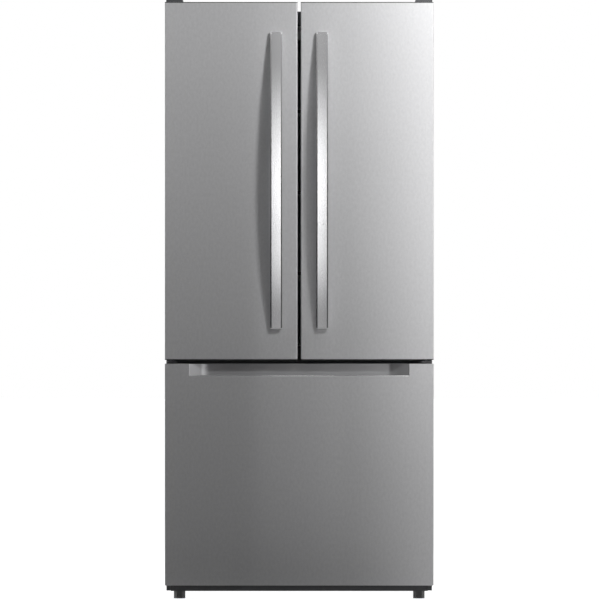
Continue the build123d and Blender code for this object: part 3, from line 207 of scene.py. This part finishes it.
materials = {
    "steel_skin": brushed(
        "steel_skin",
        (0.62, 0.62, 0.63),
        low=0.30,
        high=0.36,
        metallic=0.30,
        stretch=(1.0, 1.0, 0.2),
        scale=900.0,
        depth=0.05,
        clouds=0.07,
    ),
    "handle_steel": brushed(
        "handle_steel",
        (0.74, 0.74, 0.75),
        low=0.075,
        high=0.09,
        metallic=0.75,
        stretch=(1.0, 1.0, 0.04),
        scale=1500.0,
        depth=0.003,
        clouds=0.012,
    ),
    "cabinet_paint": painted(
        "cabinet_paint", (0.20, 0.205, 0.21), 0.60, 520.0, 0.30, Specular_IOR_Level=0.25
    ),
    "galvanised": spangled("galvanised", (0.47, 0.48, 0.49), 0.34, 0.52, 95.0),
    "dark_plastic": moulded("dark_plastic", (0.075, 0.076, 0.08), 0.46, 1500.0, 0.14),
    "grey_plastic": moulded("grey_plastic", (0.17, 0.172, 0.176), 0.42, 1500.0, 0.12),
    "liner_white": painted("liner_white", (0.84, 0.85, 0.85), 0.42, 160.0, 0.05),
    "foam": foamed("foam", (0.80, 0.74, 0.55)),
    "clear_tub": clear("clear_tub", (0.90, 0.94, 0.95), 0.06, IOR=1.46),
    "shelf_glass": clear("shelf_glass", (0.93, 0.97, 0.955), 0.01, IOR=1.52),
    "gasket": moulded("gasket", (0.05, 0.05, 0.053), 0.62, 700.0, 0.1),
    "black_metal": painted("black_metal", (0.03, 0.03, 0.031), 0.3, 300.0, 0.06, Coat_Weight=0.4),
    "slide_steel": spangled("slide_steel", (0.60, 0.61, 0.62), 0.24, 0.36, 420.0),
    "copper_tube": aged("copper_tube", (0.72, 0.45, 0.30)),
    "fin_aluminium": finned("fin_aluminium", (0.78, 0.79, 0.80)),
    "lens": milky("lens", (0.92, 0.92, 0.88)),
    "black_gloss": painted("black_gloss", (0.02, 0.02, 0.023), 0.09, 90.0, 0.01, Coat_Weight=0.6),
    "foot_rubber": moulded("foot_rubber", (0.11, 0.11, 0.11), 0.55, 1100.0, 0.2),
    "dark_zinc": spangled("dark_zinc", (0.13, 0.13, 0.135), 0.40, 0.55, 260.0),
    "silver_paint": painted("silver_paint", (0.52, 0.52, 0.53), 0.36, 400.0, 0.05, Metallic=0.25),
}
for node in nodes.values():
    for place in node.material_slots:
        place.material = materials[place.material.name]
nodes["mid_hinges"].material_slots[0].material = materials["dark_zinc"]


def soften(name, width, segments=2):
    """Breaks a node's sharp edges as its mould or press does."""
    weld = nodes[name].modifiers.new("weld", "WELD")
    weld.merge_threshold = 1e-5
    bevel = nodes[name].modifiers.new("edges", "BEVEL")
    bevel.width = width
    bevel.segments = segments
    bevel.limit_method = "ANGLE"
    bevel.angle_limit = math.radians(40)
    bevel.harden_normals = False


def piece(name, body, slot, mesh_builder, sharp=35.0):
    """Makes an object from a bmesh, with edges under an angle shaded round, and lets it ride."""
    mesh_builder.normal_update()
    limit = math.radians(sharp)
    for edge in mesh_builder.edges:
        edge.smooth = len(edge.link_faces) == 2 and edge.calc_face_angle(0.0) < limit
    for face in mesh_builder.faces:
        face.smooth = True
    mesh = bpy.data.meshes.new(name)
    mesh_builder.to_mesh(mesh)
    mesh_builder.free()
    mesh.materials.append(materials[slot])
    made = bpy.data.objects.new(name, mesh)
    bpy.context.scene.collection.objects.link(made)
    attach(made, body)
    return made


def loft(builder, rings):
    """Joins closed rings of points with quads and caps both ends."""
    rows = [[builder.verts.new(point) for point in ring] for ring in rings]
    count = len(rows[0])
    for low, high in zip(rows, rows[1:]):
        for index in range(count):
            after = (index + 1) % count
            builder.faces.new((low[index], low[after], high[after], high[index]))
    builder.faces.new(list(reversed(rows[0])))
    builder.faces.new(rows[-1])


# Share of a corner's radius at which extra points keep the sides beside it flat
GUARD_SHARE = 0.05


def rounded(width, height, radius, steps):
    """Points of a rectangle with round corners about the origin, its sides kept flat."""
    points = []
    for turn, (across, up) in enumerate(((1, 1), (-1, 1), (-1, -1), (1, -1))):
        for step in range(-1, steps + 2):
            angle = math.pi / 2 * (turn + min(max(step, 0), steps) / steps)
            guard = GUARD_SHARE * radius * (min(step, 0) + max(step - steps, 0))
            points.append(
                (
                    across * (width / 2 - radius) + radius * math.cos(angle) - guard * math.sin(angle),
                    up * (height / 2 - radius) + radius * math.sin(angle) + guard * math.cos(angle),
                )
            )
    return points


def lathe(builder, profile, place, axis, sides):
    """Turns a profile of (radius, height) pairs about an axis at a place."""
    turn = Vector(axis).to_track_quat("Z", "Y").to_matrix()
    rings = []
    for radius, height in profile:
        ring = []
        for index in range(sides):
            angle = 2 * math.pi * (index + 0.5) / sides
            local = Vector((radius * math.cos(angle), radius * math.sin(angle), height))
            ring.append(Vector(place) + turn @ local)
        rings.append(ring)
    loft(builder, rings)


# Bowed bar handles
HANDLE_WIDTH = 0.033
HANDLE_DEPTH = 0.014
HANDLE_BOW = 0.042
HANDLE_END_Y = -0.346
HANDLE_STATIONS = 96
END_ROUNDING = 0.007
END_NARROWING = 0.22
EDGE_ACROSS = 0.0036
EDGE_DEEP = 0.0026
POST_INSET = 0.028
POST_RADIUS = 0.008
POST_SIDES = 28
POST_PROFILE = [
    (POST_RADIUS * 1.3, 0.0),
    (POST_RADIUS * 1.05, 0.0012),
    (POST_RADIUS, 0.003),
    (POST_RADIUS, 0.010),
]


def handle(name, side):
    """Bar with chamfered edges, bowed along an arc, on two posts."""
    half = (HANDLE_HIGH - HANDLE_LOW) / 2
    middle = (HANDLE_HIGH + HANDLE_LOW) / 2
    radius = (half * half + HANDLE_BOW * HANDLE_BOW) / (2 * HANDLE_BOW)
    reach = math.asin(half / radius)
    flat = HANDLE_WIDTH / 2 - EDGE_ACROSS
    side_flat = HANDLE_DEPTH / 2 - EDGE_DEEP
    section = []
    for turn in (1, -1):
        section += [
            (turn * flat, turn * HANDLE_DEPTH / 2),
            (-turn * flat, turn * HANDLE_DEPTH / 2),
            (-turn * HANDLE_WIDTH / 2, turn * side_flat),
            (-turn * HANDLE_WIDTH / 2, -turn * side_flat),
        ]
    builder = bmesh.new()
    rings = []
    for index in range(HANDLE_STATIONS + 1):
        share = 2 * index / HANDLE_STATIONS - 1
        eased = math.sin(share * math.pi / 2)
        angle = reach * eased
        center_y = HANDLE_END_Y - HANDLE_BOW + radius * (1 - math.cos(angle))
        center_z = middle + radius * math.sin(angle)
        left = half * (1 - abs(eased))
        near = min(left / END_ROUNDING, 1.0)
        narrow = 1 - END_NARROWING * (1 - math.sqrt(1 - (1 - near) ** 2))
        ring = []
        for across, deep in section:
            y = center_y - deep * math.cos(angle)
            z = center_z + deep * math.sin(angle)
            z = min(max(z, HANDLE_LOW), HANDLE_HIGH)
            ring.append(Vector((side * HANDLE_X + across * narrow, min(y, DOOR_FACE), z)))
        rings.append(ring)
    loft(builder, rings)
    for z in (HANDLE_LOW + POST_INSET, HANDLE_HIGH - POST_INSET):
        lathe(builder, POST_PROFILE, (side * HANDLE_X, DOOR_FACE, z), (0, -1, 0), POST_SIDES)
    body = "right_door" if side > 0 else "left_door"
    bar = piece(name, body, "handle_steel", builder)
    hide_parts("right_handle" if side > 0 else "left_handle")


handle("left_bar", -1)
handle("right_bar", 1)

for name, width in (
    ("hinge_covers", 0.0008),
    ("left_door_caps", 0.0008),
    ("right_door_caps", 0.0008),
    ("shelf_frames", 0.0012),
    ("left_crisper", 0.0008),
    ("right_crisper", 0.0008),
    ("left_door_bins", 0.0007),
    ("right_door_bins", 0.0007),
    ("lower_basket", 0.0009),
    ("upper_tray", 0.0009),
    ("left_door_liner", 0.0015),
    ("right_door_liner", 0.0015),
    ("air_duct", 0.0010),
    ("evaporator_cover", 0.0008),
    ("control_panel", 0.0010),
    ("rear_cover", 0.0005),
    ("compressor", 0.0040),
    ("left_foot", 0.0012),
    ("right_foot", 0.0012),
    ("flip_mullion", 0.0010),
):
    soften(name, width)


# Hexagon screws with their washers: radii as shares of the screw's size, heights in metres
WASHER_SIDES = 24
WASHER_PROFILE = ((1.0, 0.0), (1.0, 0.0006), (0.93, 0.0010))
HEAD_SEAT = 0.0008
HEAD_SIDES = 6
HEAD_PROFILE = ((0.64, 0.0), (0.64, 0.0024), (0.55, 0.0030), (0.22, 0.0027))
BACK_SCREW_X = 0.361
BACK_SCREW_Z = (0.32, 0.62, 0.92, 1.22, 1.52)
BACK_SCREW_SIZE = 0.0055
BACK_SCREW_SINK = 0.0008
HINGE_SCREW_X = 0.3615
HINGE_SCREW_Z = (0.628, 0.648)
HINGE_SCREW_SIZE = 0.0048
HINGE_PLATE = 0.003


def screws(name, body, slot, places, axis, size):
    builder = bmesh.new()
    for place in places:
        washer = [(size * share, height) for share, height in WASHER_PROFILE]
        lathe(builder, washer, place, axis, WASHER_SIDES)
        head = [(size * share, height) for share, height in HEAD_PROFILE]
        lathe(builder, head, Vector(place) + Vector(axis) * HEAD_SEAT, axis, HEAD_SIDES)
    piece(name, body, slot, builder)


def on_both_sides(x, y, heights):
    return [(side * x, y, z) for side in (-1, 1) for z in heights]


back_places = on_both_sides(BACK_SCREW_X, BACK_FACE - BACK_SCREW_SINK, BACK_SCREW_Z)
screws("back_screws", "cabinet", "slide_steel", back_places, (0, 1, 0), BACK_SCREW_SIZE)
hinge_places = on_both_sides(HINGE_SCREW_X, CABINET_FRONT - HINGE_PLATE, HINGE_SCREW_Z)
screws("hinge_screws", "cabinet", "black_metal", hinge_places, (0, -1, 0), HINGE_SCREW_SIZE)


# Shelf front trims: slim rails clipped over each frame's front edge
TRIM_DEEP = 0.004
TRIM_HIGH = 0.008
TRIM_RADIUS = 0.0016
TRIM_CORNER_STEPS = 4
TRIM_HALF = 0.300
TRIM_PARTS = 24
TRIM_Y = -0.1375
TRIM_DROP = 0.0052


def trims():
    builder = bmesh.new()
    section = rounded(TRIM_DEEP, TRIM_HIGH, TRIM_RADIUS, TRIM_CORNER_STEPS)
    for top in SHELF_TOPS:
        rings = []
        for part in range(TRIM_PARTS + 1):
            x = TRIM_HALF * (2 * part / TRIM_PARTS - 1)
            rings.append([Vector((x, TRIM_Y + deep, top - TRIM_DROP + up)) for deep, up in section])
        loft(builder, rings)
    piece("shelf_trims", "cabinet", "grey_plastic", builder)


trims()


# Touch marks on the control panel: a row of plain raised dots on its sloping face
MARK_COUNT = 6
MARK_FIRST_X = -0.100
MARK_PITCH = 0.040
MARK_Y = -0.163
MARK_Z = 1.578
MARK_SIDES = 28
MARK_PROFILE = [(0.0042, 0.0), (0.0042, 0.0003), (0.0036, 0.0005)]
PANEL_FACING = (0, -0.030, -0.012)


def touch_marks():
    builder = bmesh.new()
    slope = Vector(PANEL_FACING).normalized()
    for index in range(MARK_COUNT):
        place = Vector((MARK_FIRST_X + MARK_PITCH * index, MARK_Y, MARK_Z))
        lathe(builder, MARK_PROFILE, place, slope, MARK_SIDES)
    piece("touch_marks", "cabinet", "grey_plastic", builder)


touch_marks()


# Rolled lip along the lower edge of the drawer's finger pull
LIP_HALF = 0.3055
LIP_RADIUS = 0.0016
LIP_INSET = 0.0003
LIP_PARTS = 40
LIP_SIDES = 12
LIP_TAPER_START = 0.97
LIP_TAPER = 0.5


def pull_lip():
    builder = bmesh.new()
    rings = []
    for part in range(LIP_PARTS + 1):
        share = 2 * part / LIP_PARTS - 1
        ease = 1 - LIP_TAPER * max(abs(share) - LIP_TAPER_START, 0.0) / (1 - LIP_TAPER_START)
        middle = Vector((share * LIP_HALF, DOOR_FACE + LIP_RADIUS + LIP_INSET, PULL_LOW))
        ring = []
        for index in range(LIP_SIDES):
            angle = 2 * math.pi * index / LIP_SIDES
            ring.append(middle + Vector((0.0, math.cos(angle), math.sin(angle))) * LIP_RADIUS * ease)
        rings.append(ring)
    loft(builder, rings)
    piece("pull_lip", "freezer_drawer", "handle_steel", builder)


pull_lip()


# Scoop of the finger pull: a trough that runs out to both ends in a slope and a hollow curve
PULL_HALF = 0.307
PULL_TOP = 0.6567
PULL_FLOOR = 0.6035
PULL_WALL = 0.0028
DOOR_SHEET = 0.0008
SCOOP_START = 0.0040
SCOOP_DEPTH = 0.028
PULL_FRONT = DOOR_FACE + DOOR_SHEET
PULL_SEAT = DOOR_FACE + SCOOP_DEPTH + PULL_WALL
SCOOP_SLOPE = math.radians(28)
SCOOP_RUN = 0.032
SCOOP_STEP = 0.002
SCOOP_STEPS = 40


def scoop_depth(inward):
    """Depth behind the door face at a distance from the scoop's end."""
    ramp_depth = SCOOP_START + SCOOP_RUN * math.tan(SCOOP_SLOPE)
    radius = (SCOOP_DEPTH - ramp_depth) / (1 - math.cos(SCOOP_SLOPE))
    curve_end = SCOOP_RUN + radius * math.sin(SCOOP_SLOPE)
    if inward < SCOOP_RUN:
        return SCOOP_START + max(inward, 0.0) * math.tan(SCOOP_SLOPE)
    left = max(curve_end - inward, 0.0)
    return SCOOP_DEPTH - radius + math.sqrt(radius * radius - left * left)


def pull_scoop():
    inner = PULL_FRONT + PULL_WALL
    under = PULL_FLOOR - PULL_WALL
    inwards = [-PULL_WALL] + [SCOOP_STEP * step for step in range(SCOOP_STEPS + 1)]
    stations = [-PULL_HALF + inward for inward in inwards]
    stations += [PULL_HALF - inward for inward in reversed(inwards)]
    rings = []
    for x in stations:
        back = DOOR_FACE + scoop_depth(PULL_HALF - abs(x))
        section = [
            (PULL_FRONT, under),
            (PULL_SEAT, under),
            (PULL_SEAT, PULL_TOP),
            (back, PULL_TOP),
            (back, PULL_FLOOR),
            (inner, PULL_FLOOR),
            (inner, PULL_LOW),
            (PULL_FRONT, PULL_LOW),
        ]
        rings.append([Vector((x, y, z)) for y, z in section])
    builder = bmesh.new()
    loft(builder, rings)
    bmesh.ops.recalc_face_normals(builder, faces=builder.faces)
    scoop = piece("pull_scoop", "freezer_drawer", "grey_plastic", builder)
    scoop.data.materials[0] = materials["silver_paint"]
    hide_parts("pocket_grip")


pull_scoop()


# Light: white surroundings, a key from the right and a graded card in front that metal reflects
def light_path(tree):
    """A value of 1 for rays from the camera, mirrors and glass, else 0."""
    path = tree.nodes.new("ShaderNodeLightPath")
    total = path.outputs["Is Camera Ray"]
    for ray in ("Is Glossy Ray", "Is Transmission Ray"):
        add = tree.nodes.new("ShaderNodeMath")
        add.operation = "MAXIMUM"
        tree.links.new(total, add.inputs[0])
        tree.links.new(path.outputs[ray], add.inputs[1])
        total = add.outputs[0]
    return total


AMBIENT = 0.02
world = bpy.data.worlds.new("studio")
bpy.context.scene.world = world
world.use_nodes = True
sky = world.node_tree.nodes["Background"]
sky.inputs["Color"].default_value = (1, 1, 1, 1)
level = world.node_tree.nodes.new("ShaderNodeMapRange")
world.node_tree.links.new(light_path(world.node_tree), level.inputs["Value"])
level.inputs["To Min"].default_value = AMBIENT
level.inputs["To Max"].default_value = 1.0
world.node_tree.links.new(level.outputs[0], sky.inputs["Strength"])


def sheet(name, corners, material, faces):
    mesh = bpy.data.meshes.new(name)
    mesh.from_pydata(corners, [], faces)
    mesh.materials.append(material)
    made = bpy.data.objects.new(name, mesh)
    bpy.context.scene.collection.objects.link(made)
    return made


FLOOR = 40.0
FLOOR_GRAY = 0.30
FLOOR_GLOW = 0.93


def floor_material():
    """Floor that is white to the camera, throws little light back and keeps a soft shadow."""
    color = (FLOOR_GRAY, FLOOR_GRAY, FLOOR_GRAY)
    shader = Shader("floor", color, 0.7)
    shader.tint(shader.noise(1.5), shade(color, 29 / 30), shade(color, 31 / 30))
    output = shader.tree.nodes["Material Output"]
    glow = shader.add("ShaderNodeEmission", {"Color": (1, 1, 1, 1)})
    shader.put(glow, {"Strength": shader.spread(light_path(shader.tree), 0.0, FLOOR_GLOW, 0.0, 1.0)})
    both = shader.add("ShaderNodeAddShader", {0: shader.surface.outputs[0], 1: glow.outputs[0]})
    shader.put(output, {"Surface": both.outputs[0]})
    return shader.material


floor_corners = [(-FLOOR, -FLOOR, 0), (FLOOR, -FLOOR, 0), (FLOOR, FLOOR, 0), (-FLOOR, FLOOR, 0)]
sheet("floor", floor_corners, floor_material(), [(0, 1, 2, 3)])


def ramp(shader, value, start, end, amount):
    """Smooth step of a value between two places."""
    values = {"Value": value, "From Min": start, "From Max": end, "To Min": 0.0, "To Max": amount}
    return shader.add("ShaderNodeMapRange", values, interpolation_type="SMOOTHSTEP").outputs[0]


def maths(shader, operation, first, second):
    return shader.add("ShaderNodeMath", {0: first, 1: second}, operation=operation).outputs[0]


def glowing(shader, strength):
    glow = shader.add("ShaderNodeEmission", {"Color": (1, 1, 1, 1), "Strength": strength})
    shader.put(shader.tree.nodes["Material Output"], {"Surface": glow.outputs[0]})
    return shader.material


# Front card: brightness of its upper, right and left glow, and the places where each comes and goes
CARD_UPPER = 0.55
CARD_RIGHT = 4.4
CARD_LEFT = 0.95
UPPER_RISE = (0.45, 4.45)
RIGHT_COMES = (0.09, 0.66)
RIGHT_GOES = (0.95, 1.35)
RIGHT_RISE = (0.0, 1.2)
RIGHT_BASE = 0.35
RIGHT_FADE = (2.1, 2.9)
LEFT_COMES = (-0.27, -0.62)
LEFT_GOES = (-1.3, -1.9)
LEFT_RISE = (0.3, 2.2)
LEFT_BASE = 0.3
CARD_Y = -1.5
CARD_FOOT = -0.45
CARD_LOW = 0.003
CARD_HALF = 4.5
CARD_TOP = 5.0

# Window card: the back of a recess in the front card, which only the handles show
WINDOW_GLOW = 2.8
WINDOW_BASE = 0.45
HIGHLIGHT_HALF = 0.4
BOW_SPREAD = 0.98
HANDLE_MIDDLE = (HANDLE_LOW + HANDLE_HIGH) / 2
HANDLE_FRONT = -0.39
WINDOW_Y = -8.0
WINDOW_HALF = 0.10
WINDOW_LOW = 0.10
WINDOW_TOP = 2.30
RECESS_TOP = 7.0


def band(shader, axis, comes, goes, amount):
    """Glow of an amount between the place where it comes and the place where it goes."""
    rising = ramp(shader, axis, *comes, amount)
    return maths(shader, "ADD", rising, ramp(shader, axis, *goes, -amount))


def card_material():
    """Glow that grows upward, strongest on the right and weaker on the left."""
    shader = Shader("front_card", (0, 0, 0), 1.0)
    axes = shader.add("ShaderNodeSeparateXYZ", {"Vector": shader.place}).outputs
    upper = ramp(shader, axes[2], *UPPER_RISE, CARD_UPPER)
    right_rise = maths(shader, "ADD", ramp(shader, axes[2], *RIGHT_RISE, 1 - RIGHT_BASE), RIGHT_BASE)
    right_level = maths(shader, "ADD", right_rise, ramp(shader, axes[2], *RIGHT_FADE, -1.0))
    right_band = band(shader, axes[0], RIGHT_COMES, RIGHT_GOES, CARD_RIGHT)
    right = maths(shader, "MULTIPLY", right_band, right_level)
    left_level = maths(shader, "ADD", ramp(shader, axes[2], *LEFT_RISE, 1 - LEFT_BASE), LEFT_BASE)
    left_band = band(shader, axes[0], LEFT_COMES, LEFT_GOES, CARD_LEFT)
    left = maths(shader, "MULTIPLY", left_band, left_level)
    sides = maths(shader, "ADD", right, left)
    return glowing(shader, maths(shader, "ADD", upper, sides))


def window_material():
    """Glow that a bowed handle shows as a highlight fading from its middle to its ends."""
    shader = Shader("window_card", (0, 0, 0), 1.0)
    axes = shader.add("ShaderNodeSeparateXYZ", {"Vector": shader.place}).outputs
    rise = maths(shader, "ABSOLUTE", maths(shader, "SUBTRACT", axes[2], HANDLE_MIDDLE), 0.0)
    away = maths(shader, "SUBTRACT", HANDLE_FRONT, axes[1])
    spread = maths(shader, "MULTIPLY_ADD", away, BOW_SPREAD)
    shader.put(spread.node, {2: 1.0})
    seen = maths(shader, "DIVIDE", rise, spread)
    fall = ramp(shader, seen, 0.0, HIGHLIGHT_HALF, -WINDOW_GLOW)
    return glowing(shader, maths(shader, "ADD", fall, WINDOW_GLOW + WINDOW_BASE))


front_card = sheet(
    "front_card",
    [
        (-CARD_HALF, CARD_FOOT, CARD_LOW),
        (CARD_HALF, CARD_FOOT, CARD_LOW),
        (CARD_HALF, CARD_Y, CARD_LOW),
        (CARD_HALF, CARD_Y, CARD_TOP),
        (-CARD_HALF, CARD_Y, CARD_TOP),
        (-CARD_HALF, CARD_Y, CARD_LOW),
        (-WINDOW_HALF, CARD_Y, WINDOW_LOW),
        (WINDOW_HALF, CARD_Y, WINDOW_LOW),
        (WINDOW_HALF, CARD_Y, WINDOW_TOP),
        (-WINDOW_HALF, CARD_Y, WINDOW_TOP),
        (-WINDOW_HALF, WINDOW_Y, CARD_LOW),
        (WINDOW_HALF, WINDOW_Y, CARD_LOW),
        (WINDOW_HALF, WINDOW_Y, RECESS_TOP),
        (-WINDOW_HALF, WINDOW_Y, RECESS_TOP),
    ],
    card_material(),
    [
        (0, 1, 2, 5),
        (5, 2, 7, 6),
        (2, 3, 8, 7),
        (3, 4, 9, 8),
        (4, 5, 6, 9),
        (6, 9, 13, 10),
        (7, 11, 12, 8),
    ],
)
window_card = sheet(
    "window_card",
    [
        (-WINDOW_HALF, CARD_Y, CARD_LOW),
        (WINDOW_HALF, CARD_Y, CARD_LOW),
        (WINDOW_HALF, WINDOW_Y, CARD_LOW),
        (-WINDOW_HALF, WINDOW_Y, CARD_LOW),
        (WINDOW_HALF, WINDOW_Y, RECESS_TOP),
        (-WINDOW_HALF, WINDOW_Y, RECESS_TOP),
    ],
    window_material(),
    [(0, 1, 2, 3), (3, 2, 4, 5)],
)
for card in (front_card, window_card):
    card.visible_camera = False
    card.visible_diffuse = False
    card.visible_transmission = False
    card.visible_shadow = False


def lamp(name, place, target, width, height, radiance):
    """Soft rectangular lamp of an even brightness."""
    data = bpy.data.lights.new(name, "AREA")
    data.shape = "RECTANGLE"
    data.size = width
    data.size_y = height
    data.energy = radiance * math.pi * width * height
    made = bpy.data.objects.new(name, data)
    made.location = place
    made.rotation_euler = (Vector(target) - Vector(place)).to_track_quat("-Z", "Y").to_euler()
    made.visible_camera = False
    bpy.context.scene.collection.objects.link(made)
    return made


# Lamps: place, aim, width, height and brightness
key = lamp("key", (0.88, -1.65, 2.2), (-0.25, -0.34, 2.2), 0.3, 0.3, 82.0)
key.data.cycles.use_multiple_importance_sampling = False
lamp("left_side", (-3.0, 1.1, 1.7), (-0.37, 0.1, 0.8), 1.4, 2.0, 2.6)
lamp("right_side", (3.0, 1.1, 1.7), (0.37, 0.1, 0.8), 1.4, 2.0, 2.6)
lamp("back", (0.6, 3.4, 2.2), (0, 0.4, 0.8), 2.4, 2.0, 1.5)
lamp("top", (0, 1.0, 3.8), (0, 0.3, 1.6), 1.6, 1.2, 3.0)

# Camera: far away and level, as the photograph shows no side of the doors
CAMERA_PLACE = (0.0008, -20.34, 0.8365)
CAMERA_LENS = 431.4
CAMERA_SENSOR = 36.0
CAMERA_REACH = 200.0
camera = bpy.data.cameras.new("camera")
camera.sensor_width = CAMERA_SENSOR
camera.lens = CAMERA_LENS
camera.clip_end = CAMERA_REACH
view = bpy.data.objects.new("camera", camera)
view.location = CAMERA_PLACE
view.rotation_euler = (math.radians(90), 0, 0)
bpy.context.scene.collection.objects.link(view)
bpy.context.scene.camera = view

bpy.context.scene.view_settings.view_transform = "Standard"
